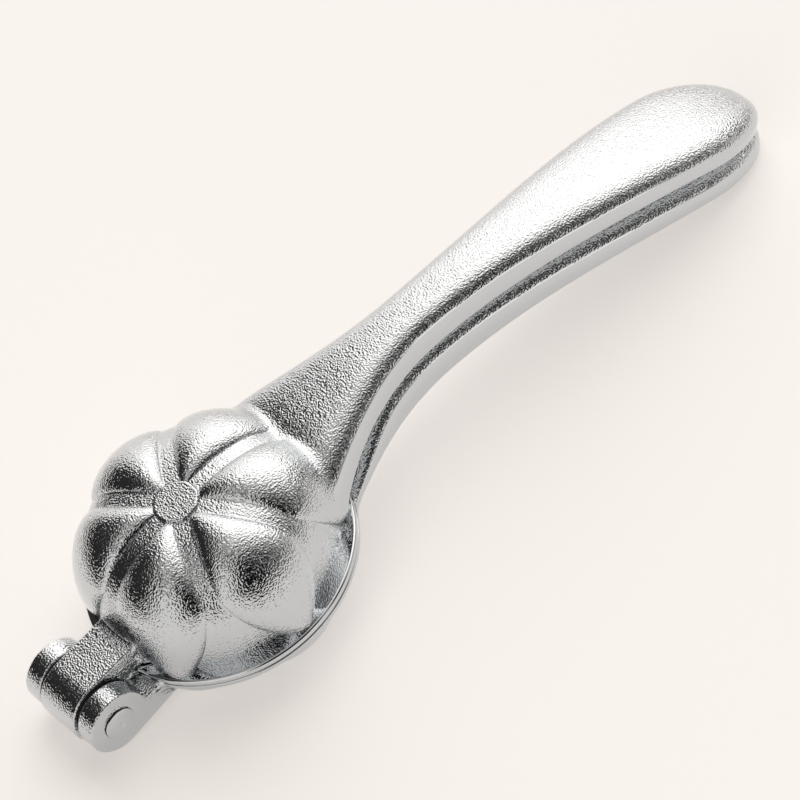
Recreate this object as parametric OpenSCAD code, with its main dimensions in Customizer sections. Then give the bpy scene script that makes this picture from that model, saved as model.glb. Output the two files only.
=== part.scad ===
// Chestnut scoring tool: two cast jaws on a pin hinge, with a cross of blades in the upper jaw.
// The pieces are laid out on the plane where the jaws meet: the head's axis is Z, the handles run
// along +X and the hinge lies at -X. stand() then tips the tool onto its foot and handle tip.

/* [Head] */
// Outer radius of the rim where the jaws meet
rim_r = 26; // [25:0.5:30]
// Height of each rim from the plane where the jaws meet
rim_h = 1.4; // [1:0.1:2.5]
// Gap between the two closed rims
rim_gap = 0.3; // [0.1:0.05:0.6]
// Radius of the rim's outer edge
rim_edge = 0.5; // [0.2:0.1:0.8]
// Ledge outside the dome, along the tool
ledge_x = 2.6; // [2:0.1:3.2]
// Ledge outside the dome, across the tool
ledge_y = 2.8; // [2:0.1:3.2]
// Height of the upper dome above its rim
dome_h = 19.7; // [17:0.1:24]
// Depth of the lower dish under its rim
dish_h = 7; // [6:0.1:12]
// Thickness of the cast wall
wall = 2.8; // [2.4:0.1:3.4]
// Radius of the hub on top of the dome
hub_r = 4.4; // [3:0.1:6]
// Distance that the hub sits from the head's axis, towards the hinge
hub_off = 0.9; // [0:0.1:1.5]
// Height of the hub above the dome
hub_h = 0.5; // [0.4:0.1:2]
// Radius of the foot under the dish
foot_r = 6.5; // [5:0.1:8]
// Depth of the foot below the dish, at the head's axis
foot_h = 2.1; // [1.5:0.1:4]

/* [Petals] */
// Number of petals round the head
petal_count = 6; // [6:2:8]
// Half width of a petal at its widest
petal_w = 8.8; // [7:0.1:10]
// Width of the valleys between the petals
valley_w = 2.7; // [2:0.1:3.6]
// Height of the petals on the dome
petal_h = 1.9; // [1:0.05:3.2]
// Height of the petals on the dish
dish_petal_h = 1.2; // [0.6:0.1:1.8]
// Extra height of the petals at their feet on the rim
petal_foot = 2.1; // [0.4:0.1:2.2]

/* [Hinge] */
// Distance from the rim to the pin's axis
pin_off = 8.3; // [7.9:0.1:10]
// Radius of the pin
pin_r = 3.2; // [2.5:0.1:4]
// Radial clearance of the pin in the tongue
pin_fit = 0.05; // [0.02:0.01:0.08]
// Height of the pin's ends above the ears
pin_proud = 0.8; // [0.4:0.1:1.5]
// Radius of the tongue's eye
eye_r = 6.7; // [5.6:0.1:6.8]
// Radius of the ears
ear_r = 6.3; // [5.4:0.1:6.8]
// Width of the tongue
tongue_w = 9.6; // [7:0.1:12]
// Thickness of each ear
ear_t = 4.1; // [3:0.1:6]
// Thickness of each spacer washer
washer_t = 0.6; // [0.4:0.05:1]
// Side clearance on each face of a washer
washer_fit = 0.05; // [0.02:0.01:0.1]
// How far the washer's edge stays inside the ear's edge
washer_inset = 0.5; // [0.2:0.1:1.5]
// Depth of the ears where they reach the dish
ear_root_h = 4.8; // [3.5:0.1:6]

/* [Handles] */
// Distance that the handles' root line lies inside the rim
root_in = 6.7; // [5:0.1:8]
// Reach of the upper handle from its root line
upper_reach = 111.7; // [90:0.1:140]
// Distance by which the lower handle stops short of the upper one
lower_short = 1.1; // [0:0.1:6]
// Height of the upper handle's middle line at the root
root_z = 6.5; // [5:0.1:7]
// Height that the upper handle's middle line first aims for
rise_z = 15.9; // [14:0.1:19]
// Height that the upper handle's middle line then aims for
fall_z = 0.9; // [-3:0.1:4]
// Height of the upper handle's tip
tip_z = -16.1; // [-20:0.1:-10]
// Half width of the upper handle at the root
root_w = 15.8; // [14:0.1:17.6]
// Half width of the upper handle at the waist
waist_w = 6.2; // [5.5:0.1:9]
// Half width of the upper handle at the grip
grip_w = 11.3; // [9.5:0.1:14]
// Distance that the lower handle's root is narrower on each side
root_tuck = 2.4; // [1.5:0.1:4]
// Distance that the lower handle's waist and grip are narrower on each side
grip_tuck = 0.7; // [0:0.1:1.5]
// Distance along the handle from the root to the waist
waist_at = 34.6; // [30:0.1:42]
// Distance along the handle from the root to the widest grip
grip_at = 103.5; // [80:0.5:106]
// Length of the handles' rounded end
end_cap = 18.5; // [14:0.5:24]
// Height of the crown at the upper handle's root
root_crown = 6.7; // [6:0.1:9]
// Height of the crown along the handles
crown = 5.8; // [4.5:0.1:6.4]
// Height of the crown near the tips
tip_crown = 4.8; // [4:0.1:5.5]
// Depth of the underside along the handles
under = 2.2; // [1.5:0.1:3]
// Depth of the underside near the tips
tip_under = 1.9; // [1.3:0.1:2.5]
// Space between the handles in the middle
nest_gap = 3.3; // [3:0.1:5]

/* [Blades] */
// Length of each blade's cutting edge
blade_w = 14; // [10:0.5:14]
// Thickness of the blades
blade_t = 0.8; // [0.5:0.1:1.2]
// Distance that the blades stand out below their holder
blade_reach = 4; // [2.5:0.1:5]
// Height of the ground bevel on the cutting edge
bevel_h = 1.2; // [0.8:0.1:2]
// Overhang of the blades' shoulders at each end
shoulder = 1; // [0.6:0.1:1]
// Height of the blades' shoulders above the holder
shoulder_h = 1; // [0.8:0.1:1.2]
// Clearance of the blades in each other and in the holder
blade_fit = 0.05; // [0.02:0.01:0.1]
// Depth of the shoulders' seat below the top of the cavity
seat_drop = 1.5; // [1.4:0.1:2.5]
// Radius of the blade holder
holder_r = 10; // [9.8:0.1:10.6]
// Thickness of the blade holder
holder_t = 1.4; // [1:0.1:2]
// Radius of the seat that presses on the blades
seat_r = 4.6; // [3:0.1:5]
// Distance of the holder's screws from the head's axis
screw_at = 7.3; // [7:0.1:7.4]
// Radius of the screws
screw_r = 1.5; // [1:0.1:1.5]
// Clearance of the screws in their holes
screw_fit = 0.03; // [0.02:0.01:0.1]
// Radius of the screws' heads
screw_head_r = 2.4; // [2:0.1:2.4]
// Height of the screws' heads
screw_head_h = 1.5; // [1:0.1:2]
// Length of the screws under their heads
screw_len = 3.8; // [3:0.1:4]

/* [Hidden] */
$fn = 96;
tiny = 0.01;
mate_z = rim_gap / 2;

// The dome is a superellipse of revolution: t is 0 at its top and 90 at its rim.
dome_power = 3;
dish_power = 2.8;
petal_from = 3;
petal_to = 92;
shell_to = 89.5;
petal_end_from = 0.48;
petal_end_power = 3;
petal_end_round = 0.45;
petal_flank = 0.62;
petal_lead = 0.6;
petal_crest = 0.86;
hub_fade = 0.9;
dome_rings = 12;
dome_turns = 72;
ring_x = rim_r - ledge_x;
ring_y = rim_r - ledge_y;
cavity_r = min(ring_x, ring_y) - wall;
cavity_h = rim_h + dome_h - wall;
cup_h = rim_h + dish_h - wall;
cavity_steps = 18;
hollow_mouth = 5;
foot_z = rim_h + dish_h + foot_h;

pin_x = -(rim_r + pin_off);
ear_in = tongue_w / 2 + washer_t + 2 * washer_fit;
ear_out = ear_in + ear_t;
slot_clear = 0.4;
pin_dome = 0.5;
dimple_r = 0.9;
dimple_h = 0.2;

root_x = rim_r - root_in;
root_back = 2.5;
lower_root_back = 2;
root_under = root_z - mate_z - 0.55;
lower_root_crown = 0.6;
lower_root_under = 4.5;
root_ease = 16.5;
lower_root_ease = 24.3;
width_power = 1.05;
aim_1 = 0.19;
aim_2 = 0.797;
lower_aim_1 = 0.26;
lower_aim_2 = 0.673;
handle_stations = 30;
handle_sides = 24;
length_steps = 60;
under_power = 0.7;
crown_power = 0.68;
cap_power = 0.7;
head_clear = 0.3;
root_gap = 1.3;
fall_nest = 4;
tip_nest = 1.2;

shoulder_z = cavity_h - seat_drop;
holder_z = shoulder_z - shoulder_h;
blade_tip_z = holder_z - holder_t - blade_reach;
blade_mid_z = (shoulder_z + blade_tip_z) / 2;
boss_r = screw_head_r;
boss_root = wall / 3;
screw_end = 0.3;
drive_w = 0.6;
drive_h = 0.7;

function clip(v) = min(1, max(0, v));
function ease(v) = 0.5 - 0.5 * cos(180 * clip(v));
function shell_r(t, a, p) = a * pow(max(sin(t), 0), 2 / p);
function shell_z(t, h, p) = h * pow(max(cos(t), 0), 2 / p);
function shell_z_at(r, a, h, p) = shell_z(asin(pow(min(1, r / a), p / 2)), h, p);
function ring_a(phi) = 1 / sqrt(pow(cos(phi) / ring_x, 2) + pow(sin(phi) / ring_y, 2));
function petal_angle(phi) =
    let (step = 360 / petal_count, v = phi / step)
    (v - floor(v) - 0.5) * step;
function petal_end(s) =
    pow(1 - pow(clip((s - petal_end_from) / (1 - petal_end_from)), petal_end_power), petal_end_round);
function petal_half(s, r) =
    max(0, min(petal_w, r * sin(180 / petal_count) - valley_w / 2)) * petal_end(s);
function petal_rise(t, phi, r, h) =
    let (s = clip((t - petal_from) / (petal_to - petal_from)), w = petal_half(s, r),
         d = r * sin(petal_angle(phi)), q = w > tiny ? max(0, 1 - pow(d / w, 2)) : 0,
         start = max(0, 1 - pow(hub_fade * hub_r / r, 4)))
    (h * start * pow(max(sin(180 * pow(s, petal_lead)), 0), petal_crest) + petal_foot * pow(s, 3))
        * pow(q, petal_flank);
function shell_normal(t, a, h, p) =
    let (t1 = min(90, t + 0.5), t0 = max(petal_from, t - 0.5),
         dr = shell_r(t1, a, p) - shell_r(t0, a, p), dz = shell_z(t1, h, p) - shell_z(t0, h, p))
    [-dz, dr] / norm([dr, dz]);
function shell_point(t, phi, h, rise, p) =
    let (a = ring_a(phi), r = shell_r(t, a, p), n = shell_normal(t, a, h, p),
         b = petal_rise(t, phi, r, rise), rr = r + n[0] * b)
    [rr * cos(phi) - hub_off * pow(cos(t), 3), rr * sin(phi), rim_h + shell_z(t, h, p) + n[1] * b];

// Points of a petalled shell, ring by ring from the top down, with a last ring inside the rim.
function shell_points(h, rise, p) = concat(
    [for (i = [0 : dome_rings], j = [0 : dome_turns - 1])
        shell_point(petal_from + (shell_to - petal_from) * i / dome_rings, 360 * j / dome_turns, h, rise, p)],
    [for (j = [0 : dome_turns - 1])
        let (q = shell_point(shell_to, 360 * j / dome_turns, h, rise, p)) [q[0], q[1], rim_h / 2]]);

// Triangles between the rings of a closed tube, with flat ends.
function tube_sides(rings, n) =
    [for (i = [0 : rings - 2], j = [0 : n - 1], k = [0, 1])
        let (a = i * n + j, b = i * n + (j + 1) % n, c = a + n, d = b + n)
        k == 0 ? [a, b, c] : [b, d, c]];
function tube_start(n) = [for (j = [n - 1 : -1 : 0]) j];
function tube_end(rings, n) = [for (j = [0 : n - 1]) (rings - 1) * n + j];

// A handle follows a cubic curve in the XZ plane: p holds its four control points.
function curve(p, u) =
    pow(1 - u, 3) * p[0] + 3 * u * pow(1 - u, 2) * p[1] + 3 * u * u * (1 - u) * p[2] + u * u * u * p[3];
function slope(p, u) =
    let (d = pow(1 - u, 2) * (p[1] - p[0]) + 2 * u * (1 - u) * (p[2] - p[1]) + u * u * (p[3] - p[2]))
    d / norm(d);
function run(p) =
    [for (i = 0, s = 0; i <= length_steps;
          i = i + 1, s = s + (i <= length_steps
              ? norm(curve(p, i / length_steps) - curve(p, (i - 1) / length_steps)) : 0)) s];
function share_at(runs, l) =
    let (total = runs[length_steps], v = max(0, min(total, l)))
    lookup(v, [for (i = [0 : length_steps]) [runs[i], i / length_steps]]);
// One handle is [curve, root half width, waist, grip, root crown, root underside, length inside the
// wall, length of the root's easing].
function end_scale(l, total) = sqrt(max(0, 1 - pow(clip((l - total + end_cap) / end_cap), 2)));
function half_width(hd, l) =
    l < waist_at
        ? hd[1] + (hd[2] - hd[1]) * pow(sin(90 * clip(l / waist_at)), width_power)
        : hd[2] + (hd[3] - hd[2]) * ease((l - waist_at) / (grip_at - waist_at));
function blend_to(l, total, e, a, b, c) =
    l < e ? a + (b - a) * ease(l / e) : b + (c - b) * (l - e) / (total - e);
function handle_point(hd, runs, l, phi) =
    let (total = runs[length_steps], u = share_at(runs, l), c = curve(hd[0], u) + min(0, l) * slope(hd[0], 0),
         s = slope(hd[0], u), k = end_scale(l, total), kk = pow(k, cap_power),
         up = blend_to(max(0, l), total, hd[7], hd[4], crown, tip_crown) * kk,
         down = blend_to(max(0, l), total, hd[7], hd[5], under, tip_under) * kk,
         top = sin(phi) >= 0, side = pow(abs(cos(phi)), top ? crown_power : 1),
         n = top ? up * pow(sin(phi), crown_power) : -down * pow(-sin(phi), under_power))
    [c[0] - s[1] * n, half_width(hd, max(0, l)) * k * sign(cos(phi)) * side, c[1] + s[0] * n];
function stations(total, back) = concat(
    [-back],
    [for (i = [0 : handle_stations - 9]) (total - end_cap) * i / (handle_stations - 8)],
    [for (i = [0 : 8]) total - end_cap + end_cap * sin(84 * i / 8)]);
function handle_points(hd) =
    let (runs = run(hd[0]), total = runs[length_steps], at = stations(total, hd[6]))
    concat([for (l = at, j = [0 : handle_sides - 1]) handle_point(hd, runs, l, 360 * j / handle_sides)],
           [[hd[0][3][0], 0, hd[0][3][1]]]);

upper_line = [[root_x, root_z], [root_x + aim_1 * upper_reach, rise_z],
              [root_x + aim_2 * upper_reach, fall_z], [root_x + upper_reach, tip_z]];
nest_root = root_under + lower_root_crown + root_gap;
nest_mid = crown + under + nest_gap;
nest_fall = nest_mid - fall_nest;
nest_tip = tip_crown + tip_under - tip_nest;
lower_reach = upper_reach - lower_short;
lower_line = [[root_x, root_z - nest_root], [root_x + lower_aim_1 * lower_reach, rise_z - nest_mid],
              [root_x + lower_aim_2 * lower_reach, fall_z - nest_fall],
              [root_x + lower_reach, tip_z - nest_tip]];
upper_handle_form = [upper_line, root_w, waist_w, grip_w, root_crown, root_under, root_back, root_ease];
lower_handle_form = [lower_line, root_w - root_tuck, waist_w - grip_tuck, grip_w - grip_tuck,
                     lower_root_crown, lower_root_under, lower_root_back, lower_root_ease];

// The tool rests on the foot and on the lowest point of the lower handle.
lower_runs = run(lower_line);
rest_tilt = max([for (l = stations(lower_runs[length_steps], 0))
    let (q = handle_point(lower_handle_form, lower_runs, l, 270))
    l < waist_at ? 0 : atan2(-foot_z - q[2], q[0])]);

module stand() {
    rotate([0, -rest_tilt, 0])
        translate([0, 0, foot_z])
            children();
}

module shell(h, rise, p) {
    polyhedron(points = shell_points(h, rise, p),
               faces = concat([tube_start(dome_turns)], tube_sides(dome_rings + 2, dome_turns),
                              [tube_end(dome_rings + 2, dome_turns)]));
}

module handle(hd) {
    total = run(hd[0])[length_steps];
    rings = len(stations(total, hd[6]));
    tip = rings * handle_sides;
    last = tip - handle_sides;
    polyhedron(points = handle_points(hd),
               faces = concat([tube_end(1, handle_sides)],
                              [for (f = tube_sides(rings, handle_sides)) [f[2], f[1], f[0]]],
                              [for (j = [0 : handle_sides - 1])
                                  [tip, last + (j + 1) % handle_sides, last + j]]));
}

// One jaw's rim, from the gap outwards, with a rounded outer edge.
module rim() {
    rotate_extrude()
        polygon(concat([[0, mate_z], [rim_r, mate_z], [rim_r, rim_h - rim_edge]],
                       [for (a = [15 : 15 : 90])
                           [rim_r - rim_edge + rim_edge * cos(a), rim_h - rim_edge + rim_edge * sin(a)]],
                       [[0, rim_h]]));
}

// Hollow of one jaw, open at the plane where the jaws meet.
module hollow(h, p) {
    rotate_extrude()
        polygon(concat([[0, -hollow_mouth], [cavity_r, -hollow_mouth]],
                       [for (i = [0 : cavity_steps - 1])
                           let (t = 90 - 90 * i / cavity_steps) [shell_r(t, cavity_r, p), shell_z(t, h, p)]],
                       [[0, h]]));
}

module across(w, y = 0) {
    translate([pin_x, y + w / 2, 0])
        rotate([90, 0, 0])
            linear_extrude(w)
                children();
}

module tongue() {
    across(tongue_w) {
        circle(eye_r);
        translate([0, mate_z])
            square([pin_off + ledge_x + wall, eye_r - mate_z]);
    }
}

// An ear is an eye on a straight arm that deepens the lower jaw's wall.
module ear(side) {
    arm = pin_off + ledge_x + 2 * wall;
    across(ear_t, side * (ear_in + ear_t / 2)) {
        circle(ear_r);
        polygon([[0, -mate_z], [0, -ear_r], [arm, -ear_root_h], [arm, -mate_z]]);
    }
}

// A web joins the two ears in front of the tongue.
module web() {
    arm = pin_off + ledge_x + 2 * wall;
    across(2 * ear_in + ear_t)
        polygon([[0, -mate_z], [0, -ear_root_h], [arm, -ear_root_h], [arm, -mate_z]]);
}

module round_bar(r, w) {
    translate([pin_x, w / 2, 0])
        rotate([90, 0, 0])
            cylinder(r = r, h = w);
}

module at_screws() {
    for (a = [45, 225])
        rotate([0, 0, a])
            translate([screw_at, 0, 0])
                children();
}

module upper_jaw() {
    boss_top = shell_z_at(screw_at - boss_r, cavity_r, cavity_h, dome_power) + boss_root;
    color([0.78, 0.79, 0.8])
        stand()
            difference() {
                union() {
                    difference() {
                        union() {
                            rim();
                            shell(dome_h, petal_h, dome_power);
                            translate([-hub_off, 0, rim_h + dome_h - wall / 2])
                                cylinder(r = hub_r, h = hub_h + wall / 2);
                            tongue();
                            difference() {
                                handle(upper_handle_form);
                                translate([0, 0, mate_z - dish_h])
                                    cylinder(r = rim_r + head_clear, h = dish_h);
                            }
                        }
                        hollow(cavity_h, dome_power);
                    }
                    translate([0, 0, shoulder_z])
                        cylinder(r = seat_r, h = cavity_h + boss_root - shoulder_z);
                    at_screws()
                        translate([0, 0, holder_z])
                            cylinder(r = boss_r, h = boss_top - holder_z);
                }
                round_bar(pin_r + pin_fit, tongue_w + 2);
                at_screws()
                    translate([0, 0, holder_z - 1])
                        cylinder(r = screw_r + screw_fit, h = screw_len - holder_t + screw_end + 1, $fn = 48);
            }
}

module lower_jaw() {
    color([0.76, 0.77, 0.78])
        difference() {
            union() {
                stand() {
                    mirror([0, 0, 1]) {
                        rim();
                        shell(dish_h, dish_petal_h, dish_power);
                    }
                    ear(1);
                    ear(-1);
                    web();
                    difference() {
                        handle(lower_handle_form);
                        translate([0, 0, -mate_z])
                            cylinder(r = rim_r + head_clear, h = dome_h);
                    }
                }
                cylinder(r = foot_r, h = foot_h + wall / 2);
            }
            stand() {
                mirror([0, 0, 1])
                    hollow(cup_h, dish_power);
                round_bar(eye_r + slot_clear, 2 * ear_in);
                round_bar(pin_r, 2 * ear_out + 2);
            }
        }
}

// The pin's ends are low domes with a small dimple.
module hinge_pin() {
    half = ear_out + pin_proud;
    dome_at = [for (r = [0 : 0.4 : pin_r]) [r, pin_dome * (1 - pow(r / pin_r, 2))]];
    edge = [for (q = dome_at) if (q[0] > dimple_r) [q[0], half - pin_dome + q[1]]];
    dimple_z = half - pin_dome * pow(dimple_r / pin_r, 2);
    top = concat([[0, dimple_z - dimple_h], [dimple_r, dimple_z]], edge, [[pin_r, half - pin_dome]]);
    color([0.72, 0.73, 0.74])
        stand()
            translate([pin_x, 0, 0])
                rotate([90, 0, 0])
                    for (m = [0, 1])
                        mirror([0, 0, m])
                            rotate_extrude()
                                polygon(concat(top, [[pin_r, -tiny], [0, -tiny]]));
}

module washer(side) {
    color([0.08, 0.08, 0.09])
        stand()
            across(washer_t, side * (tongue_w + washer_t + 2 * washer_fit) / 2)
                difference() {
                    circle(min(eye_r, ear_r) - washer_inset);
                    circle(pin_r + pin_fit);
                }
}

module washer_near() {
    washer(-1);
}

module washer_far() {
    washer(1);
}

// A disc with a cross of slots: the blades hang through it by their shoulders.
module blade_holder() {
    slot_l = blade_w + 2 * blade_fit;
    slot_w = blade_t + 2 * blade_fit;
    color([0.62, 0.63, 0.65])
        stand()
            translate([0, 0, holder_z - holder_t])
                difference() {
                    cylinder(r = holder_r, h = holder_t);
                    for (s = [[slot_l, slot_w], [slot_w, slot_l]])
                        translate([-s[0] / 2, -s[1] / 2, -1])
                            cube([s[0], s[1], holder_t + 2]);
                    at_screws()
                        translate([0, 0, -1])
                            cylinder(r = screw_r + screw_fit, h = holder_t + 2, $fn = 48);
                }
}

// A blade is a flat strip with shoulders at the top and a ground edge, halved at its middle.
module blade(half_z) {
    bottom = blade_tip_z;
    intersection() {
        rotate([90, 0, 0])
            linear_extrude(blade_t, center = true)
                difference() {
                    union() {
                        translate([-blade_w / 2, bottom])
                            square([blade_w, shoulder_z - bottom]);
                        translate([-blade_w / 2 - shoulder, holder_z])
                            square([blade_w + 2 * shoulder, shoulder_h]);
                    }
                    translate([-blade_t / 2 - blade_fit, half_z - blade_fit])
                        square([blade_t + 2 * blade_fit, (shoulder_z - bottom) / 2 + 2 * blade_fit]);
                }
        rotate([90, 0, 90])
            linear_extrude(blade_w + 2 * shoulder + 2, center = true)
                polygon([[0, bottom], [blade_t / 2, bottom + bevel_h], [blade_t / 2, shoulder_z],
                         [-blade_t / 2, shoulder_z], [-blade_t / 2, bottom + bevel_h]]);
    }
}

module blade_long() {
    color([0.7, 0.72, 0.75])
        stand()
            blade(blade_tip_z);
}

module blade_cross() {
    color([0.66, 0.68, 0.71])
        stand()
            rotate([0, 0, 90])
                blade(blade_mid_z);
}

// Two slotted pan-head screws clamp the holder against its bosses.
module holder_screws() {
    head_z = holder_z - holder_t - screw_head_h;
    color([0.55, 0.56, 0.58])
        stand()
            at_screws()
                difference() {
                    union() {
                        translate([0, 0, head_z])
                            cylinder(r = screw_head_r, h = screw_head_h, $fn = 48);
                        translate([0, 0, head_z + screw_head_h])
                            cylinder(r = screw_r, h = screw_len, $fn = 48);
                    }
                    translate([-screw_head_r - 1, -drive_w / 2, head_z - 1])
                        cube([2 * screw_head_r + 2, drive_w, drive_h + 1]);
                }
}

upper_jaw();
lower_jaw();
hinge_pin();
washer_near();
washer_far();
blade_holder();
blade_long();
blade_cross();
holder_screws();
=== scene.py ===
import math

import bpy
import numpy as np
from mathutils import Matrix, Vector
from mathutils.bvhtree import BVHTree


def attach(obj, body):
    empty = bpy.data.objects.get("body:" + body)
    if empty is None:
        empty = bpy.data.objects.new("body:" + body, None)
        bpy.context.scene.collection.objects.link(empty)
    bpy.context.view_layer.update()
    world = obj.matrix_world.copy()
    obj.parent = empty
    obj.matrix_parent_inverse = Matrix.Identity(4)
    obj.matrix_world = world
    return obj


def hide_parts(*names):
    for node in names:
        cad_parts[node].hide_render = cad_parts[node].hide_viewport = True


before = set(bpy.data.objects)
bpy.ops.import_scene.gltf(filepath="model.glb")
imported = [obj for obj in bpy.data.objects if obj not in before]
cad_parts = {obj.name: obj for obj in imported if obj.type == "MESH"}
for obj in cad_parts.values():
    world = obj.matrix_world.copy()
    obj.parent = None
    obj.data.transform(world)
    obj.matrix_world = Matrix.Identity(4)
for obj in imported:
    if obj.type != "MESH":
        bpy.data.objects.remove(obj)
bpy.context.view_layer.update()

MM = 0.001

# Sizes in millimetres, counts, powers and shares, as in the part's source.
RIM_R, RIM_H, RIM_GAP, RIM_EDGE = 26.0, 1.4, 0.3, 0.5
LEDGE_X, LEDGE_Y = 2.6, 2.8
RING_X, RING_Y = RIM_R - LEDGE_X, RIM_R - LEDGE_Y
DOME_H, DISH_H, WALL = 19.7, 7.0, 2.8
HUB_R, HUB_H, HUB_OFF = 4.4, 0.5, 0.9
FOOT_R, FOOT_H = 6.5, 2.1
PETAL_COUNT = 6
PETAL_STEP = 2 * np.pi / PETAL_COUNT
PETAL_W, PETAL_H, DISH_PETAL_H, PETAL_FOOT, VALLEY_W = 8.8, 1.9, 1.2, 2.1, 2.7
PIN_OFF, PIN_R, PIN_FIT, PIN_PROUD = 8.3, 3.2, 0.05, 0.8
EYE_R, EAR_R, TONGUE_W, EAR_T = 6.7, 6.3, 9.6, 4.1
WASHER_T, WASHER_FIT, WASHER_INSET, EAR_ROOT_H = 0.6, 0.05, 0.5, 4.8
DOME_POWER, DISH_POWER = 3.0, 2.8
END_FROM, END_POWER, END_ROUND = 0.48, 3.0, 0.45
PETAL_FLANK, PETAL_LEAD, PETAL_CREST, HUB_FADE = 0.62, 0.6, 0.86, 0.9
PETAL_FROM, PETAL_TO = 3.0, 92.0
MATE_Z = RIM_GAP / 2
CAVITY_R = min(RING_X, RING_Y) - WALL
CAVITY_H = RIM_H + DOME_H - WALL
CUP_H = RIM_H + DISH_H - WALL
FOOT_Z = RIM_H + DISH_H + FOOT_H
PIN_X = -(RIM_R + PIN_OFF)
EAR_IN = TONGUE_W / 2 + WASHER_T + 2 * WASHER_FIT
EAR_OUT = EAR_IN + EAR_T
SLOT_CLEAR = 0.4
SEAT_R, SCREW_AT, SCREW_R, SCREW_FIT, BOSS_R = 4.6, 7.3, 1.5, 0.03, 2.4
SEAT_DROP, SHOULDER_H, HOLLOW_MOUTH, ROOT_IN = 1.5, 1.0, 5.0, 6.7
SHOULDER_Z = CAVITY_H - SEAT_DROP
HOLDER_Z = SHOULDER_Z - SHOULDER_H
ROOT_X = RIM_R - ROOT_IN
ROOT_Z, RISE_Z, FALL_Z, TIP_Z = 6.5, 15.9, 0.9, -16.1
UPPER_REACH, LOWER_SHORT = 111.7, 1.1
WAIST_AT, GRIP_AT, END_CAP, WIDTH_POWER = 34.6, 103.5, 18.5, 1.05
CROWN, TIP_CROWN, UNDER, TIP_UNDER, NEST_GAP = 5.8, 4.8, 2.2, 1.9, 3.3
CROWN_POWER, UNDER_POWER, CAP_POWER = 0.68, 0.7, 0.7
AIM_1, AIM_2, LOWER_AIM_1, LOWER_AIM_2 = 0.19, 0.797, 0.26, 0.673
LOWER_ROOT_CROWN, ROOT_GAP, FALL_NEST, TIP_NEST, HEAD_CLEAR = 0.6, 1.3, 4.0, 1.2, 0.3

# More sizes: the root of the handles, the hub's sides, rounded edges, and rods that cut or join.
ROOT_LIFT, HUB_SIDES, HUB_FLAT = 0.55, 8, 0.036
PLATE_EDGE, WEB_EDGE, MATE_EDGE, HUB_EDGE, WEB_FROM = 0.35, 0.3, 0.15, 0.45, 0.5
SEAT_RISE, HOLE_LENGTH, HOLE_RISE, CLEAR_H, CUT_PAST = 0.9, 3.7, 0.85, 20, 1
SCREW_ANGLES = (45, 225)
# How far each fillet reaches, and how often its points are moved.
UPPER_FILLET, LOWER_FILLET, HINGE_FILLET, WEB_FILLET, FOOT_FILLET = 1.8, 2.0, 0.9, 0.7, 0.8
FILLET_ROUNDS = 5
# The polished skin's places: the band round the rim and its ledge, and sides steeper than a tilt.
LEDGE_TOP, LEDGE_FROM, LEDGE_PAST = 1.65, 19.0, 0.3
SIDE_TILT = math.radians(30)
# A face of the pin is on its round side, which gets painted shade, where its normal leans along the
# pin by less than this.
PIN_SIDE_SLOPE = 0.5
SHARP_ANGLE = math.radians(50)


# The frame of the sizes has the head's axis as Z; stand() tips it onto the foot and the handle.
def curve(p, u):
    """Points at u along the cubic curve with control points p."""
    u = np.asarray(u, float)[..., None]
    p = np.asarray(p, float)
    v = 1 - u
    return v ** 3 * p[0] + 3 * u * v ** 2 * p[1] + 3 * u * u * v * p[2] + u ** 3 * p[3]


def slope(p, u):
    """The curve's direction at u."""
    u = np.asarray(u, float)[..., None]
    p = np.asarray(p, float)
    d = (1 - u) ** 2 * (p[1] - p[0]) + 2 * u * (1 - u) * (p[2] - p[1]) + u * u * (p[3] - p[2])
    return d / np.linalg.norm(d, axis=-1, keepdims=True)


def ease(v):
    """A smooth step from 0 to 1 as v goes from 0 to 1."""
    return 0.5 - 0.5 * np.cos(np.pi * np.clip(v, 0, 1))


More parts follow.
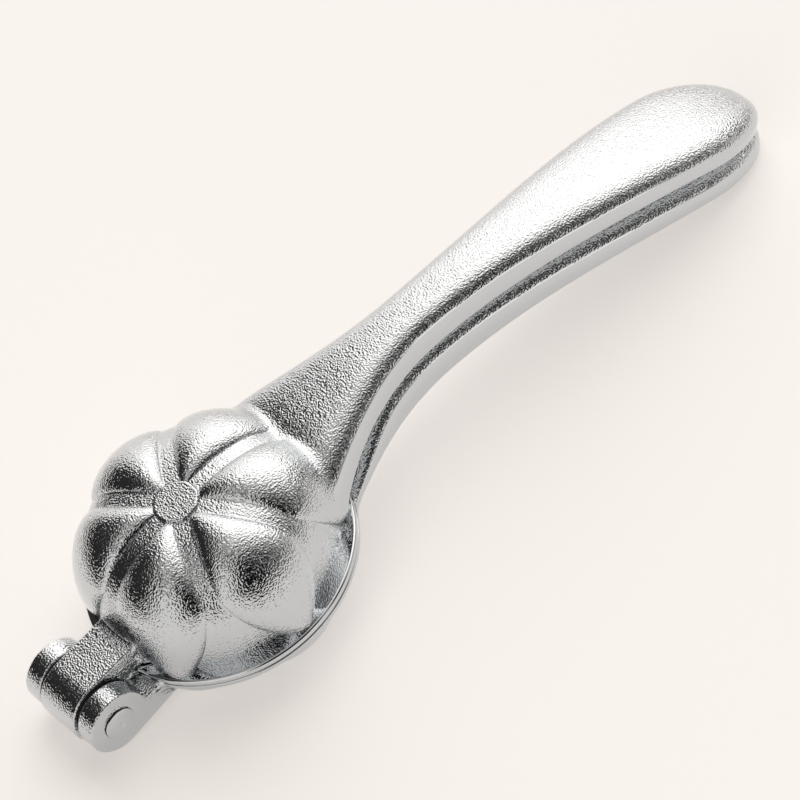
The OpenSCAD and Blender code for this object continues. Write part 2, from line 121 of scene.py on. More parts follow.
class Handle:
    """A handle that follows a cubic curve in the XZ plane."""

    def __init__(self, line, root_w, waist_w, grip_w, root_crown, root_under, back, root_ease):
        self.line = np.array(line, float)
        self.widths = (root_w, waist_w, grip_w)
        self.root_crown, self.root_under = root_crown, root_under
        self.back, self.root_ease = back, root_ease
        u = np.linspace(0, 1, 400)
        c = curve(self.line, u)
        self.runs = np.concatenate([[0], np.cumsum(np.linalg.norm(np.diff(c, axis=0), axis=1))])
        self.total = self.runs[-1]
        self.shares = u

    def half_width(self, l):
        root, waist, grip = self.widths
        a = root + (waist - root) * np.sin(np.pi / 2 * np.clip(l / WAIST_AT, 0, 1)) ** WIDTH_POWER
        b = waist + (grip - waist) * ease((l - WAIST_AT) / (GRIP_AT - WAIST_AT))
        return np.where(l < WAIST_AT, a, b)

    def blend_to(self, l, a, b, c):
        """From a at the root, through b at the end of the root's easing, to c at the tip."""
        e = self.root_ease
        far = b + (c - b) * (l - e) / (self.total - e)
        return np.where(l < e, a + (b - a) * ease(l / e), far)

    def points(self, l, phi):
        """Points at lengths l along the handle and angles phi (radians) round it."""
        u = np.interp(np.clip(l, 0, self.total), self.runs, self.shares)
        s = slope(self.line, u)
        c = curve(self.line, u) + np.minimum(0, l)[:, None] * slope(self.line, 0.0)
        k = np.sqrt(np.clip(1 - np.clip((l - self.total + END_CAP) / END_CAP, 0, 1) ** 2, 0, 1))
        ahead = np.maximum(0, l)
        up = self.blend_to(ahead, self.root_crown, CROWN, TIP_CROWN) * k ** CAP_POWER
        down = self.blend_to(ahead, self.root_under, UNDER, TIP_UNDER) * k ** CAP_POWER
        sn, cs = np.sin(phi), np.cos(phi)
        n = np.where(sn >= 0, up[:, None] * np.abs(sn) ** CROWN_POWER,
                     -down[:, None] * np.abs(sn) ** UNDER_POWER)
        side = np.sign(cs) * np.abs(cs) ** np.where(sn >= 0, CROWN_POWER, 1)
        y = (self.half_width(ahead) * k)[:, None] * side
        x = c[:, 0:1] - s[:, 1:2] * n
        z = c[:, 1:2] + s[:, 0:1] * n
        return np.stack([x, y, z], -1)


ROOT_UNDER = ROOT_Z - MATE_Z - ROOT_LIFT
LOWER_REACH = UPPER_REACH - LOWER_SHORT
NEST_MID = CROWN + UNDER + NEST_GAP
UPPER_HANDLE = Handle([[ROOT_X, ROOT_Z],
                       [ROOT_X + AIM_1 * UPPER_REACH, RISE_Z],
                       [ROOT_X + AIM_2 * UPPER_REACH, FALL_Z],
                       [ROOT_X + UPPER_REACH, TIP_Z]],
                      root_w=15.8, waist_w=6.2, grip_w=11.3,
                      root_crown=6.7, root_under=ROOT_UNDER, back=2.5, root_ease=16.5)
LOWER_HANDLE = Handle([[ROOT_X, ROOT_Z - (ROOT_UNDER + LOWER_ROOT_CROWN + ROOT_GAP)],
                       [ROOT_X + LOWER_AIM_1 * LOWER_REACH, RISE_Z - NEST_MID],
                       [ROOT_X + LOWER_AIM_2 * LOWER_REACH, FALL_Z - NEST_MID + FALL_NEST],
                       [ROOT_X + LOWER_REACH, TIP_Z - TIP_CROWN - TIP_UNDER + TIP_NEST]],
                      root_w=13.4, waist_w=5.5, grip_w=10.6,
                      root_crown=LOWER_ROOT_CROWN, root_under=4.5, back=2.0, root_ease=24.3)


def rest_tilt():
    """The tilt at which the lower handle's lowest point is level with the foot."""
    l = np.linspace(WAIST_AT, LOWER_HANDLE.total, 400)
    q = LOWER_HANDLE.points(l, np.array([1.5 * np.pi]))[:, 0]
    return np.arctan2(-FOOT_Z - q[:, 2], q[:, 0]).max()


TILT = rest_tilt()
STAND = Matrix.Rotation(-TILT, 4, "Y") @ Matrix.Translation((0, 0, FOOT_Z))


def stand(points):
    m = np.array(STAND)
    return np.asarray(points, float) @ m[:3, :3].T + m[:3, 3]


def unit(v):
    return v / (np.linalg.norm(v, axis=-1, keepdims=True) + 1e-12)


# Mesh helpers. A raw mesh is (points, faces) in millimetres.
def strip_faces(rings, n):
    i, j = np.meshgrid(np.arange(rings - 1), np.arange(n), indexing="ij")
    a = i * n + j
    b = i * n + (j + 1) % n
    return np.stack([a, a + n, b + n, b], -1).reshape(-1, 4).tolist()


def closed_tube(rings, start, end):
    """Quads between rings (rings, n, 3), and a fan at each end to a given point."""
    m, n, _ = rings.shape
    last, count = (m - 1) * n, m * n
    faces = strip_faces(m, n)
    faces += [(count, j, (j + 1) % n) for j in range(n)]
    faces += [(count + 1, last + (j + 1) % n, last + j) for j in range(n)]
    return np.vstack([rings.reshape(-1, 3), start, end]), faces


# Every cast piece has two skins: the grained plating, and the polished one.
SKIN_NAMES = ("cast_chrome_plating", "polished_chrome_plating")
skins = [bpy.data.materials.new(name) for name in SKIN_NAMES]


def to_object(name, raw, skin=None):
    """An object from a raw mesh, with its faces outward. skin gives each face's place in skins."""
    points, faces = raw
    mesh = bpy.data.meshes.new(name)
    mesh.from_pydata(np.asarray(points).tolist(), [], faces)
    mesh.update()
    for mat in skins:
        mesh.materials.append(mat)
    if skin is not None:
        mesh.polygons.foreach_set("material_index", np.asarray(skin, np.int32))
    obj = bpy.data.objects.new(name, mesh)
    bpy.context.scene.collection.objects.link(obj)
    if signed_volume(mesh) < 0:
        mesh.flip_normals()
    return obj


def mesh_points(mesh):
    co = np.empty(len(mesh.vertices) * 3)
    mesh.vertices.foreach_get("co", co)
    return co.reshape(-1, 3)


def signed_volume(mesh):
    mesh.calc_loop_triangles()
    tri = np.empty(len(mesh.loop_triangles) * 3, np.int32)
    mesh.loop_triangles.foreach_get("vertices", tri)
    p = mesh_points(mesh)[tri.reshape(-1, 3)]
    return float(np.einsum("ij,ij->i", p[:, 0], np.cross(p[:, 1], p[:, 2])).sum() / 6)


def boolean(obj, other, operation):
    """obj becomes obj and other under that operation, and other is used up."""
    mod = obj.modifiers.new("cut", "BOOLEAN")
    mod.operation = operation
    mod.object = other
    mod.solver = "MANIFOLD"
    graph = bpy.context.evaluated_depsgraph_get()
    made = bpy.data.meshes.new_from_object(obj.evaluated_get(graph))
    used = [obj.data, other.data]
    obj.modifiers.clear()
    obj.data = made
    bpy.data.objects.remove(other)
    for mesh in used:
        bpy.data.meshes.remove(mesh)


def tree_of(obj):
    mesh = obj.data
    return BVHTree.FromPolygons([tuple(v.co) for v in mesh.vertices],
                                [tuple(p.vertices) for p in mesh.polygons])


def signed_field(tree, points, reach):
    """Signed distance and its gradient at points, with reach where the tree is farther away."""
    d = np.full(len(points), reach)
    g = np.zeros((len(points), 3))
    for i, p in enumerate(points):
        at, normal, _, dist = tree.find_nearest(Vector(p), reach)
        if at is None:
            continue
        off = Vector(p) - at
        side = 1.0 if off.dot(normal) >= 0 else -1.0
        d[i] = side * dist
        g[i] = normal if dist < 1e-4 else off * (side / dist)
    return d, g


def soften(obj, tree_a, tree_b, reach):
    """Fills the corner where two joined bodies meet with a fillet about as wide as reach."""
    mesh = obj.data
    p = mesh_points(mesh)
    a, _ = signed_field(tree_a, p, reach * 1.1)
    b, _ = signed_field(tree_b, p, reach * 1.1)
    zone = np.flatnonzero((np.abs(a) < reach) & (np.abs(b) < reach))
    if not len(zone):
        return
    edges = np.empty(len(mesh.edges) * 2, np.int32)
    mesh.edges.foreach_get("vertices", edges)
    edges = edges.reshape(-1, 2)
    inside = np.zeros(len(p), bool)
    inside[zone] = True
    edges = edges[inside[edges[:, 0]] | inside[edges[:, 1]]]
    count = np.zeros(len(p))
    np.add.at(count, edges[:, 0], 1)
    np.add.at(count, edges[:, 1], 1)
    for _ in range(FILLET_ROUNDS):
        total = np.zeros_like(p)
        np.add.at(total, edges[:, 0], p[edges[:, 1]])
        np.add.at(total, edges[:, 1], p[edges[:, 0]])
        mean = total[zone] / count[zone, None]
        q = p[zone] + 0.5 * (mean - p[zone])
        for _ in range(2):
            fa, ga = signed_field(tree_a, q, reach * 2)
            fb, gb = signed_field(tree_b, q, reach * 2)
            h = np.clip(reach - np.abs(fa - fb), 0, None) / reach
            f = np.minimum(fa, fb) - h * h * reach / 4
            wa = np.where(fa < fb, 1 - h / 2, h / 2)[:, None]
            g = wa * ga + (1 - wa) * gb
            q = q - g * (f / np.maximum((g * g).sum(1), 0.2))[:, None]
        p[zone] = q
    mesh.vertices.foreach_set("co", p.ravel())
    mesh.update()


def rod(name, r, length, along, at, sides=128):
    """A plain cylinder, only used to cut or join other pieces."""
    a = 2 * np.pi * np.arange(sides) / sides
    rings = np.stack([np.stack([r * np.cos(a), r * np.sin(a), np.full(sides, z)], -1)
                      for z in (-length / 2, length / 2)])
    if along == "Y":
        rings = rings[..., [0, 2, 1]]
    rings = rings + at
    return to_object(name, closed_tube(rings, rings[0].mean(0), rings[-1].mean(0)))


# The head: a superellipse of revolution with raised petals, its ledge and rim, and its hollow.
def shell_rz(t, a, h, p):
    """Radius and height at the angle t from the top."""
    r, z = a * np.sin(t) ** (2 / p), h * np.maximum(np.cos(t), 0) ** (2 / p)
    return r, z + 0 * r


def petal_columns(r, half, edge_gap=0.16, lobe=44, valley=8):
    """Angles round the head whose lines follow the edges of the petals."""
    psi = np.arcsin(np.clip(half / r, 0, 1))
    psi = np.minimum(psi, PETAL_STEP / 2 - edge_gap / r)
    v = np.linspace(-1, 1, lobe + 1)
    u = np.sin(np.pi / 2 * v)
    w = np.linspace(0, 1, valley + 2)[1:-1]
    one = np.concatenate([psi[:, None] * u[None, :],
                          psi[:, None] + (PETAL_STEP - 2 * psi[:, None]) * w[None, :]], 1)
    return np.concatenate([one + PETAL_STEP / 2 + k * PETAL_STEP for k in range(PETAL_COUNT)], 1)


def petal_half(s, r):
    """Half a petal's width at the share s of its length, where the head's radius is r."""
    end = (1 - np.clip((s - END_FROM) / (1 - END_FROM), 0, 1) ** END_POWER) ** END_ROUND
    return np.maximum(np.minimum(PETAL_W, r / 2 - VALLEY_W / 2), 0.02) * np.maximum(end, 0.01)


def head(name, h, rise, p, hollow_h, hub_h, top_r, rings=130):
    """One half of the head, h high, with petals rise high. p is the power of the shell's curve."""
    t0 = math.asin((top_r / ((RING_X + RING_Y) / 2)) ** (p / 2))
    v = np.linspace(0, 1, rings)
    t = t0 + (np.pi / 2 - t0) * v ** 0.8
    s = np.clip((np.degrees(t) - PETAL_FROM) / (PETAL_TO - PETAL_FROM), 0, 1)
    mean_r, _ = shell_rz(t, (RING_X + RING_Y) / 2, h, p)
    half = petal_half(s, mean_r)
    phi = petal_columns(mean_r, half)
    a = 1 / np.sqrt((np.cos(phi) / RING_X) ** 2 + (np.sin(phi) / RING_Y) ** 2)
    r, z = shell_rz(t[:, None], a, h, p)
    eps = math.radians(0.5)
    hi, lo = np.minimum(np.pi / 2, t + eps)[:, None], np.maximum(t0, t - eps)[:, None]
    r1, z1 = shell_rz(hi, a, h, p)
    r2, z2 = shell_rz(lo, a, h, p)
    n = unit(np.stack([-(z1 - z2), r1 - r2], -1))
    off = phi % PETAL_STEP - PETAL_STEP / 2
    d = r * np.sin(off)
    q = np.clip(1 - (d / half[:, None]) ** 2, 0, 1)
    start = np.maximum(0, 1 - (HUB_FADE * HUB_R / mean_r) ** 4)
    swell = np.clip(np.sin(np.pi * s ** PETAL_LEAD), 0, 1) ** PETAL_CREST
    bulge = (rise * start * swell + PETAL_FOOT * s ** 3)[:, None] * q ** PETAL_FLANK
    rr = r + n[..., 0] * bulge
    zz = RIM_H + z + n[..., 1] * bulge
    shift = HUB_OFF * np.cos(t[:, None]) ** 3
    outer = np.stack([rr * np.cos(phi) - shift, rr * np.sin(phi), zz], -1)
    cols = phi.shape[1]
    last = phi[-1]
    even = np.linspace(0, 2 * np.pi, cols, endpoint=False) + last[0]

    def circle(radius, height, turn=1.0):
        """A ring of points. turn moves them from the petals' angles to even ones."""
        ang = last * (1 - turn) + even * turn
        return np.stack([radius * np.cos(ang), radius * np.sin(ang), np.full(cols, height)], -1)

    def hub_ring(radius, height):
        """A ring of the hub, slightly flattened into sides."""
        flat = radius * (1 - HUB_FLAT * (1 + np.cos(HUB_SIDES * phi[0])) / 2)
        return np.stack([-HUB_OFF + flat * np.cos(phi[0]), flat * np.sin(phi[0]),
                         np.full(cols, height)], -1)

    bands = []
    # The hub's flat top and rounded edge, down onto the dome.
    top = RIM_H + h + hub_h
    first = outer[0]
    if hub_h > 0:
        e = HUB_EDGE
        for radius in np.linspace(0.6, HUB_R - e - 0.15, 7):
            bands.append(hub_ring(radius, top))
        for ang in np.radians([0, 20, 40, 60, 80, 90]):
            bands.append(hub_ring(HUB_R - e + e * np.sin(ang), top - e + e * np.cos(ang)))
        bands.append(hub_ring(HUB_R, first[:, 2].max() + 0.12))
        centre_top = np.array([-HUB_OFF, 0, top])
    else:
        for f in (0.12, 0.4, 0.7):
            ring = first.copy()
            centre = first.mean(0)
            ring[:, :2] = centre[:2] + (first[:, :2] - centre[:2]) * f
            bands.append(ring)
        centre_top = first.mean(0)
    bands += list(outer)
    # The ledge, the rim's rounded edge and side, and the face where the jaws meet.
    foot = outer[-1]
    edge = circle(RIM_R - RIM_EDGE, RIM_H)
    for f in (0.06, 0.35, 0.7, 0.96):
        ring = foot * (1 - f) + edge * f
        ring[:, 2] = RIM_H
        bands.append(ring)
    for ang in np.radians([0, 18, 36, 54, 72, 90]):
        bands.append(circle(RIM_R - RIM_EDGE + RIM_EDGE * math.sin(ang),
                            RIM_H - RIM_EDGE + RIM_EDGE * math.cos(ang)))
    low = MATE_EDGE
    bands.append(circle(RIM_R, MATE_Z + low + 0.05))
    for ang in np.radians([0, 45, 90]):
        bands.append(circle(RIM_R - low + low * math.cos(ang), MATE_Z + low - low * math.sin(ang)))
    for f in (0.3, 0.7):
        bands.append(circle(RIM_R - low + (CAVITY_R + 0.3 - RIM_R) * f, MATE_Z, f))
    bands.append(circle(CAVITY_R + 0.3, MATE_Z))
    bands.append(circle(CAVITY_R + 0.09, MATE_Z + 0.09))
    bands.append(circle(CAVITY_R, MATE_Z + 0.3))
    for tt in np.linspace(np.pi / 2 - 0.05, 0.03, 60):
        rad, height = shell_rz(tt, CAVITY_R, hollow_h, p)
        if height > MATE_Z + 0.35:
            bands.append(circle(rad, height))
    raw = closed_tube(np.array(bands), centre_top, np.array([0, 0, hollow_h]))
    return to_object(name, raw)


def rounded_plate(name, outline, width, y, e):
    """A plate across the tool. outline(inset) is its profile in XZ, and e rounds its long edges."""
    rows = []
    for side in (-1, 1):
        steps = np.radians([90, 72, 54, 36, 18, 0])
        for ang in (steps if side < 0 else steps[::-1]):
            inset = e - e * math.cos(ang)
            yy = side * (width / 2 - e + e * math.sin(ang))
            flat = outline(inset)
            rows.append(np.stack([flat[:, 0], np.full(len(flat), y + yy), flat[:, 1]], -1))
    rings = np.array(rows)
    return to_object(name, closed_tube(rings, rings[0].mean(0), rings[-1].mean(0)))


def fill_line(p, q, n):
    f = np.arange(n)[:, None] / n
    return np.array(p) * (1 - f) + np.array(q) * f


def arc(cx, cz, r, a0, a1, n):
    a = np.radians(np.linspace(a0, a1, n, endpoint=False))
    return np.stack([cx + r * np.cos(a), cz + r * np.sin(a)], -1)


def tongue_outline(d):
    end = PIN_X + PIN_OFF + (RIM_R - RING_X) + WALL
    r = EYE_R - d
    low = MATE_Z + d
    turn = math.degrees(math.asin(low / r))
    corner = PIN_X + r * math.cos(math.radians(turn))
    return np.vstack([fill_line((end - d, EYE_R - d), (PIN_X, EYE_R - d), 30),
                      arc(PIN_X, 0, r, 90, 360 + turn, 96),
                      fill_line((corner, low), (end - d, low), 16),
                      fill_line((end - d, low), (end - d, EYE_R - d), 14)])


def ear_outline(d):
    end = PIN_X + PIN_OFF + (RIM_R - RING_X) + 2 * WALL
    r = EAR_R - d
    top = -MATE_Z - d
    turn = math.degrees(math.asin(top / r))
    corner = PIN_X + r * math.cos(math.radians(turn))
    return np.vstack([fill_line((end - d, top), (corner, top), 20),
                      arc(PIN_X, 0, r, turn, 270, 96),
                      fill_line((PIN_X, -EAR_R + d), (end - d, -EAR_ROOT_H + d), 36),
                      fill_line((end - d, -EAR_ROOT_H + d), (end - d, top), 10)])


def web_outline(d):
    end = PIN_X + PIN_OFF + (RIM_R - RING_X) + 2 * WALL
    x, top, low = PIN_X + WEB_FROM + d, -MATE_Z - d, -EAR_ROOT_H + d
    return np.vstack([fill_line((end - d, top), (x, top), 30),
                      fill_line((x, top), (x, low), 10),
                      fill_line((x, low), (end - d, low), 30),
                      fill_line((end - d, low), (end - d, top), 10)])


def handle_object(name, hd, sides=96):
    """A handle with the grained skin on its crown, and the polished one on the rest."""
    ahead = np.concatenate([np.linspace(0, 30, 80), np.linspace(30, hd.total - END_CAP, 150)[1:]])
    cap = hd.total - END_CAP + END_CAP * np.sin(np.linspace(0, np.pi / 2, 60))[1:-1]
    l = np.concatenate([[-hd.back, -hd.back * 0.6, -hd.back * 0.3], ahead, cap])
    # The angles crowd towards the two long edges.
    v = 2 * np.pi * np.arange(sides) / sides
    phi = v - 0.28 * np.sin(2 * v)
    rings = hd.points(l, phi)
    tip = np.array([hd.line[3, 0], 0, hd.line[3, 1]])
    raw = closed_tube(rings, rings[0].mean(0), tip)
    mid = (phi + np.roll(phi, -1) + np.where(np.roll(phi, -1) < phi, 2 * np.pi, 0)) / 2
    # The crown is grained down to the height where it turns steeper than the side's tilt.
    at = np.maximum(0, (l[1:] + l[:-1]) / 2)
    flat = hd.half_width(at) / hd.blend_to(at, hd.root_crown, CROWN, TIP_CROWN)
    edge = np.arctan((math.tan(SIDE_TILT) / flat) ** (1 / (2 - CROWN_POWER)))
    crown_face = np.minimum(mid % (2 * np.pi), np.pi - mid % (2 * np.pi))[None, :] > edge[:, None]
    skin = np.concatenate([np.where(crown_face, 0, 1).ravel(), np.ones(2 * sides, int)])
    return to_object(name, raw, skin=skin)


def mirrored(obj):
    """The object mirrored in the plane where the jaws meet, with its faces outward again."""
    p = mesh_points(obj.data)
    p[:, 2] *= -1
    obj.data.vertices.foreach_set("co", p.ravel())
    obj.data.flip_normals()
    obj.data.update()
    return obj


def join_soft(base, other, reach):
    """Joins other to base with a fillet."""
    tree_a, tree_b = tree_of(base), tree_of(other)
    boolean(base, other, "UNION")
    soften(base, tree_a, tree_b, reach)


def polish_rim(obj):
    """Gives the rim and the ledge above it the polished skin."""
    count = len(obj.data.polygons)
    mid, index = np.empty(3 * count), np.empty(count, int)
    obj.data.polygons.foreach_get("center", mid)
    obj.data.polygons.foreach_get("material_index", index)
    mid = mid.reshape(-1, 3)
    r = np.hypot(mid[:, 0], mid[:, 1])
    index[(np.abs(mid[:, 2]) < LEDGE_TOP) & (r > LEDGE_FROM) & (r < RIM_R + LEDGE_PAST)] = 1
    obj.data.polygons.foreach_set("material_index", index)


def place(obj, body, node):
    """Puts a piece from the sizes' frame into the row frame, in metres, on its body."""
    mesh = obj.data
    mesh.vertices.foreach_set("co", (stand(mesh_points(mesh)) * MM).ravel())
    mesh.update()
    for poly in mesh.polygons:
        poly.use_smooth = True
    mesh.set_sharp_from_angle(angle=SHARP_ANGLE)
    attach(obj, body)
    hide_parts(node)
    return obj


def upper_jaw():
    jaw = head("upper_jaw_casting", DOME_H, PETAL_H, DOME_POWER, CAVITY_H,
               hub_h=HUB_H, top_r=HUB_R + 0.05)
    join_soft(jaw, handle_object("handle", UPPER_HANDLE), UPPER_FILLET)
    join_soft(jaw, rounded_plate("tongue", tongue_outline, TONGUE_W, 0, PLATE_EDGE), HINGE_FILLET)
    # The hollow is cut again, because the handle and the tongue reach into it.
    boolean(jaw, hollow("hollow", CAVITY_H, DOME_POWER), "DIFFERENCE")
    seat_top, top = CAVITY_H + SEAT_RISE, boss_top()
    seat = rod("seat", SEAT_R, seat_top - SHOULDER_Z, "Z", (0, 0, (seat_top + SHOULDER_Z) / 2))
    boolean(jaw, seat, "UNION")
    for a in SCREW_ANGLES:
        x, y = SCREW_AT * math.cos(math.radians(a)), SCREW_AT * math.sin(math.radians(a))
        boss = rod("boss", BOSS_R, top - HOLDER_Z, "Z", (x, y, (top + HOLDER_Z) / 2))
        boolean(jaw, boss, "UNION")
        hole = rod("hole", SCREW_R + SCREW_FIT, HOLE_LENGTH, "Z", (x, y, HOLDER_Z + HOLE_RISE))
        boolean(jaw, hole, "DIFFERENCE")
    bore = rod("bore", PIN_R + PIN_FIT, TONGUE_W + 2 * CUT_PAST, "Y", (PIN_X, 0, 0))
    boolean(jaw, bore, "DIFFERENCE")
    polish_rim(jaw)
    place(jaw, "upper_lever", "upper_jaw")


def boss_top():
    """The top of a screw's boss: a third of the wall above the hollow at the boss's inner edge."""
    r = SCREW_AT - BOSS_R
    t = math.asin(min(1, r / CAVITY_R) ** (DOME_POWER / 2))
    return CAVITY_H * math.cos(t) ** (2 / DOME_POWER) + WALL / 3


def hollow(name, h, p, sides=200):
    """The room for the nut in one jaw, with a straight mouth past the plane where the jaws meet."""
    rings = [(CAVITY_R, -HOLLOW_MOUTH)]
    rings += [shell_rz(t, CAVITY_R, h, p) for t in np.linspace(np.pi / 2, 0.03, 61)]
    a = 2 * np.pi * np.arange(sides) / sides
    pts = np.array([np.stack([r * np.cos(a), r * np.sin(a), np.full(sides, z)], -1)
                    for r, z in rings])
    return to_object(name, closed_tube(pts, [0, 0, -HOLLOW_MOUTH], [0, 0, h]))


def lower_jaw():
    jaw = mirrored(head("lower_jaw_casting", DISH_H, DISH_PETAL_H, DISH_POWER, CUP_H,
                        hub_h=0, top_r=1.5))
    grip = handle_object("handle", LOWER_HANDLE)
    clear = rod("clear", RIM_R + HEAD_CLEAR, CLEAR_H, "Z", (0, 0, CLEAR_H / 2 - MATE_Z))
    boolean(grip, clear, "DIFFERENCE")
    join_soft(jaw, grip, LOWER_FILLET)
    for side in (-1, 1):
        ear = rounded_plate("ear", ear_outline, EAR_T, side * (EAR_IN + EAR_T / 2), PLATE_EDGE)
        join_soft(jaw, ear, HINGE_FILLET)
    join_soft(jaw, rounded_plate("web", web_outline, 2 * EAR_IN + EAR_T, 0, WEB_EDGE), WEB_FILLET)
    foot = rod("foot", FOOT_R, FOOT_H + WALL / 2, "Z", (0, 0, (FOOT_H + WALL / 2) / 2))
    foot.data.transform(STAND.inverted())
    join_soft(jaw, foot, FOOT_FILLET)
    boolean(jaw, mirrored(hollow("hollow", CUP_H, DISH_POWER)), "DIFFERENCE")
    slot = rod("slot", EYE_R + SLOT_CLEAR, 2 * EAR_IN, "Y", (PIN_X, 0, 0))
    boolean(jaw, slot, "DIFFERENCE")
    bore = rod("bore", PIN_R, 2 * EAR_OUT + 2 * CUT_PAST, "Y", (PIN_X, 0, 0))
    boolean(jaw, bore, "DIFFERENCE")
    polish_rim(jaw)
    place(jaw, "lower_lever", "lower_jaw")


def lathe(profile, sides=160):
    """The rings of a turned piece across the tool. profile holds (radius, y) in turn."""
    a = 2 * np.pi * np.arange(sides) / sides
    return np.array([np.stack([PIN_X + r * np.cos(a), np.full(sides, y), r * np.sin(a)], -1)
                     for r, y in profile])


def hinge_pin():
    """The pin, with a low dome and a faint dimple on each end."""
    half = EAR_OUT + PIN_PROUD
    dome, dimple_r, dimple_h, e = 0.5, 0.9, 0.2, 0.18
    end = []
    for r in np.linspace(0.12, dimple_r, 8):
        f = r / dimple_r
        end.append((r, half - dome * (dimple_r / PIN_R) ** 2 - dimple_h * (1 - f * f) ** 1.5))
    for r in np.linspace(dimple_r, PIN_R - e, 16)[1:]:
        end.append((r, half - dome * (r / PIN_R) ** 2))
    for ang in np.radians([25, 50, 70, 90]):
        end.append((PIN_R - e + e * math.sin(ang), half - dome - e + e * math.cos(ang) + 0.02))
    profile = end + [(PIN_R, half - dome - 0.5), (PIN_R, 0.0)]
    profile += [(r, -y) for r, y in reversed(profile[:-1])]
    rings = lathe(profile)
    tip = half - dome * (dimple_r / PIN_R) ** 2 - dimple_h
    obj = to_object("hinge_pin_turned", closed_tube(rings, [PIN_X, tip, 0], [PIN_X, -tip, 0]))
    return place(obj, "lower_lever", "hinge_pin")


def washer(name, side):
    outer, inner = min(EYE_R, EAR_R) - WASHER_INSET, PIN_R + PIN_FIT
    mid = side * (TONGUE_W + WASHER_T + 2 * WASHER_FIT) / 2
    e, half = 0.08, WASHER_T / 2
    profile = [(inner, -half + e), (inner + e, -half), (outer - e, -half), (outer, -half + e),
               (outer, half - e), (outer - e, half), (inner + e, half), (inner, half - e)]
    rings = lathe([(r, mid + y) for r, y in profile])
    m, n, _ = rings.shape
    points = rings.reshape(-1, 3)
    faces = strip_faces(m, n)
    faces += [((m - 1) * n + j, j, (j + 1) % n, (m - 1) * n + (j + 1) % n) for j in range(n)]
    obj = to_object(name + "_disc", (points, faces))
    return place(obj, "lower_lever", name)


upper_jaw()
lower_jaw()
pin = hinge_pin()
washers = [washer("washer_near", -1), washer("washer_far", 1)]


# Materials.
def tree_nodes(name, mat=None):
    """A material with one plain shader in its tree: (material, tree, shader)."""
    mat = mat or bpy.data.materials.new(name)
    mat.use_nodes = True
    nt = mat.node_tree
    for n in list(nt.nodes):
        nt.nodes.remove(n)
    out = nt.nodes.new("ShaderNodeOutputMaterial")
    shader = nt.nodes.new("ShaderNodeBsdfPrincipled")
    nt.links.new(shader.outputs["BSDF"], out.inputs["Surface"])
    return mat, nt, shader


def put(nt, socket, value):
    """Sets a socket to a number, or links another socket to it."""
    if isinstance(value, (int, float)):
        socket.default_value = value
    else:
        nt.links.new(value, socket)


def calc(nt, operation, *values):
    node = nt.nodes.new("ShaderNodeMath")
    node.operation = operation
    for socket, value in zip(node.inputs, values):
        put(nt, socket, value)
    return node.outputs[0]


def fade(nt, value, low, high, to_low=0.0, to_high=1.0):
    """A smooth step from to_low, where value is low, to to_high, where it is high."""
    node = nt.nodes.new("ShaderNodeMapRange")
    node.interpolation_type = "SMOOTHSTEP"
    put(nt, node.inputs["Value"], value)
    limits = {"From Min": low, "From Max": high, "To Min": to_low, "To Max": to_high}
    for name, number in limits.items():
        put(nt, node.inputs[name], number)
    return node.outputs["Result"]


def noise(nt, coords, scale, detail=2.0, rough=0.5):
    n = nt.nodes.new("ShaderNodeTexNoise")
    n.inputs["Scale"].default_value = scale
    n.inputs["Detail"].default_value = detail
    n.inputs["Roughness"].default_value = rough
    nt.links.new(coords.outputs["Object"], n.inputs["Vector"])
    return n.outputs["Fac"]


def bump(nt, height, distance):
    node = nt.nodes.new("ShaderNodeBump")
    node.inputs["Strength"].default_value = 1.0
    node.inputs["Distance"].default_value = distance
    nt.links.new(height, node.inputs["Height"])
    return node.outputs["Normal"]


def chrome(name, colour, grain_height, grain_scale, roughness, smudge, mat=None):
    """Chrome plating: orange peel from a bump, and faint handling marks in its roughness."""
    mat, nt, shader = tree_nodes(name, mat)
    coords = nt.nodes.new("ShaderNodeTexCoord")
    shader.inputs["Metallic"].default_value = 1.0
    shader.inputs["Base Color"].default_value = (*colour, 1)
    marks = noise(nt, coords, 90, detail=4.0, rough=0.6)
    put(nt, shader.inputs["Roughness"], fade(nt, marks, 0.35, 0.75, roughness, roughness + smudge))
    peel = bump(nt, noise(nt, coords, grain_scale, detail=0.0), grain_height)
    put(nt, shader.inputs["Normal"], peel)
    return mat


CHROME, STEEL = (0.6, 0.625, 0.645), (0.56, 0.57, 0.59)
chrome(SKIN_NAMES[0], CHROME, grain_height=0.000118, grain_scale=3000,
       roughness=0.01, smudge=0.015, mat=skins[0])
chrome(SKIN_NAMES[1], CHROME, grain_height=0.000004, grain_scale=900,
       roughness=0.05, smudge=0.03, mat=skins[1])
turned = chrome("pin_chrome_plating", CHROME, grain_height=0.000012, grain_scale=1500,
                roughness=0.12, smudge=0.05)
# Near-black: the washers' own colour, and a painted shade on the pin's round side.
black, nt, shader = tree_nodes("washer_black")
coords = nt.nodes.new("ShaderNodeTexCoord")
shader.inputs["Base Color"].default_value = (0.012, 0.012, 0.013, 1)
put(nt, shader.inputs["Roughness"], fade(nt, noise(nt, coords, 900), 0.3, 0.7, 0.45, 0.7))
put(nt, shader.inputs["Normal"], bump(nt, noise(nt, coords, 2500), 0.00002))
steel = chrome("blade_steel", STEEL, grain_height=0.000012, grain_scale=1300,
               roughness=0.26, smudge=0.12)
for obj in [pin] + washers:
    obj.data.materials.clear()
pin.data.materials.append(turned)
pin.data.materials.append(black)
# Painted shade: the pin's round side gets the near-black material, standing in for the dark
# crescent of shade beside its face.
for poly in pin.data.polygons:
    if abs(poly.normal.y) < PIN_SIDE_SLOPE:
        poly.material_index = 1
for obj in washers:
    obj.data.materials.append(black)
for node in ("blade_holder", "blade_long", "blade_cross", "holder_screws"):
    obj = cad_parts[node]
    obj.data.materials.clear()
    obj.data.materials.append(steel)


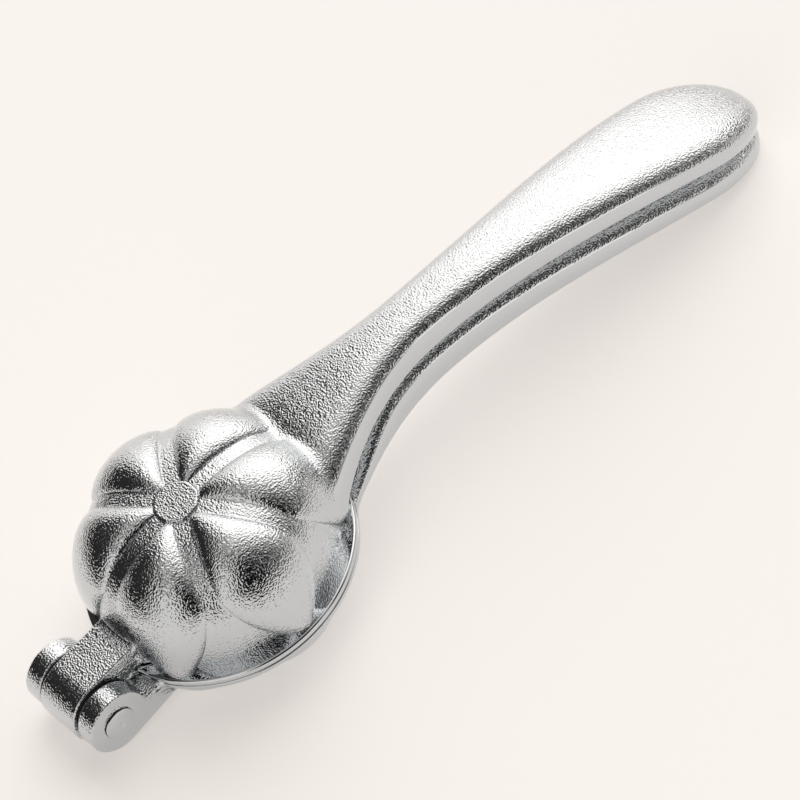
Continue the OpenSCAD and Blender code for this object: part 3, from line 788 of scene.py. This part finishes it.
# The floor. Camera, glossy and transmission rays see it brighter than its light alone makes it.
FLOOR_COLOUR, FLOOR_GLOW_COLOUR, FLOOR_GLOW = (0.88, 0.88, 0.88), (0.88, 0.812, 0.758), 0.46
FLOOR_REACH = 3.0
corners = [(x * FLOOR_REACH, y * FLOOR_REACH, 0) for x, y in ((-1, -1), (1, -1), (1, 1), (-1, 1))]
floor_mesh = bpy.data.meshes.new("floor")
floor_mesh.from_pydata(corners, [], [(0, 1, 2, 3)])
floor = bpy.data.objects.new("floor", floor_mesh)
bpy.context.scene.collection.objects.link(floor)
floor_mat, nt, shader = tree_nodes("floor_pale")
shader.inputs["Base Color"].default_value = (*FLOOR_COLOUR, 1)
shader.inputs["Roughness"].default_value = 0.9
shader.inputs["Specular IOR Level"].default_value = 0.0
shader.inputs["Emission Color"].default_value = (*FLOOR_GLOW_COLOUR, 1)
path = nt.nodes.new("ShaderNodeLightPath")
seen = calc(nt, "MAXIMUM", path.outputs["Is Glossy Ray"], path.outputs["Is Transmission Ray"])
seen = calc(nt, "MAXIMUM", path.outputs["Is Camera Ray"], seen)
put(nt, shader.inputs["Emission Strength"], calc(nt, "MULTIPLY", seen, FLOOR_GLOW))
floor_mesh.materials.append(floor_mat)

# The studio: soft panels and darker gaps round a room of one grey. Each row holds the azimuth,
# the half width, the height, the half height and the soft edge's width, all in degrees, and then
# the strength.
ROOM_LEVEL = 0.43
PANELS = [
    (135, 58, 20, 42, 20, 0.035),
    (140, 26, 18, 12, 12, 0.03),
    (32, 42, 40, 33, 10, 1.8),
    (74, 13, 0, 38, 8, 1.15),
    (-22, 13, 42, 24, 10, 0.62),
    (-50, 12, 36, 22, 12, 0.05),
    (25, 70, 90, 20, 12, 1.00),
    (-155, 24, 20, 45, 10, 0.95),
    (-100, 30, 33, 31, 14, 0.01),
    (-75, 8, 0, 9, 8, 1.30),
    (0, 14, 7, 10, 5, 0.06),
]
WARM = (1.0, 0.955, 0.915)
world = bpy.data.worlds.new("studio")
bpy.context.scene.world = world
world.use_nodes = True
nt = world.node_tree
coords = nt.nodes.new("ShaderNodeTexCoord")
parts = nt.nodes.new("ShaderNodeSeparateXYZ")
nt.links.new(coords.outputs["Generated"], parts.inputs[0])
azimuth = calc(nt, "DEGREES", calc(nt, "ARCTAN2", parts.outputs["Y"], parts.outputs["X"]))
height = calc(nt, "DEGREES", calc(nt, "ARCSINE", parts.outputs["Z"]))
level = ROOM_LEVEL
for az, half_az, el, half_el, soft, value in PANELS:
    turn_off = calc(nt, "ABSOLUTE", calc(nt, "WRAP", calc(nt, "SUBTRACT", azimuth, az), 180, -180))
    rise_off = calc(nt, "ABSOLUTE", calc(nt, "SUBTRACT", height, el))
    mask = calc(nt, "MULTIPLY", fade(nt, turn_off, half_az - soft / 2, half_az + soft / 2, 1, 0),
                fade(nt, rise_off, half_el - soft / 2, half_el + soft / 2, 1, 0))
    mix = nt.nodes.new("ShaderNodeMix")
    put(nt, mix.inputs["Factor"], mask)
    put(nt, mix.inputs["A"], level)
    put(nt, mix.inputs["B"], value)
    level = mix.outputs["Result"]
background = nt.nodes["Background"]
background.inputs["Color"].default_value = (*WARM, 1)
put(nt, background.inputs["Strength"], level)

# The camera, at the photograph's angle. Its place is in millimetres, and CAM_X and CAM_Y are the
# picture's right and up, all in the frame of the sizes.
CAM_AT = (-152.6, -638.0, 850.4)
CAM_X = (0.6936, -0.6447, -0.3216)
CAM_Y = (0.6972, 0.4882, 0.5249)
camera_data = bpy.data.cameras.new("camera")
camera_data.sensor_width = 36
camera_data.lens = 270
camera_data.clip_start, camera_data.clip_end = 0.05, 20
camera = bpy.data.objects.new("camera", camera_data)
x_axis = Vector(CAM_X).normalized()
y_axis = Vector(CAM_Y)
y_axis = (y_axis - x_axis * y_axis.dot(x_axis)).normalized()
z_axis = x_axis.cross(y_axis)
turn = Matrix((x_axis, y_axis, z_axis)).transposed()
at = stand(np.array([CAM_AT]))[0] * MM
camera.matrix_world = Matrix.Translation(at) @ (STAND.to_3x3() @ turn).to_4x4()
bpy.context.scene.collection.objects.link(camera)
bpy.context.scene.camera = camera
bpy.context.scene.view_settings.view_transform = "Standard"
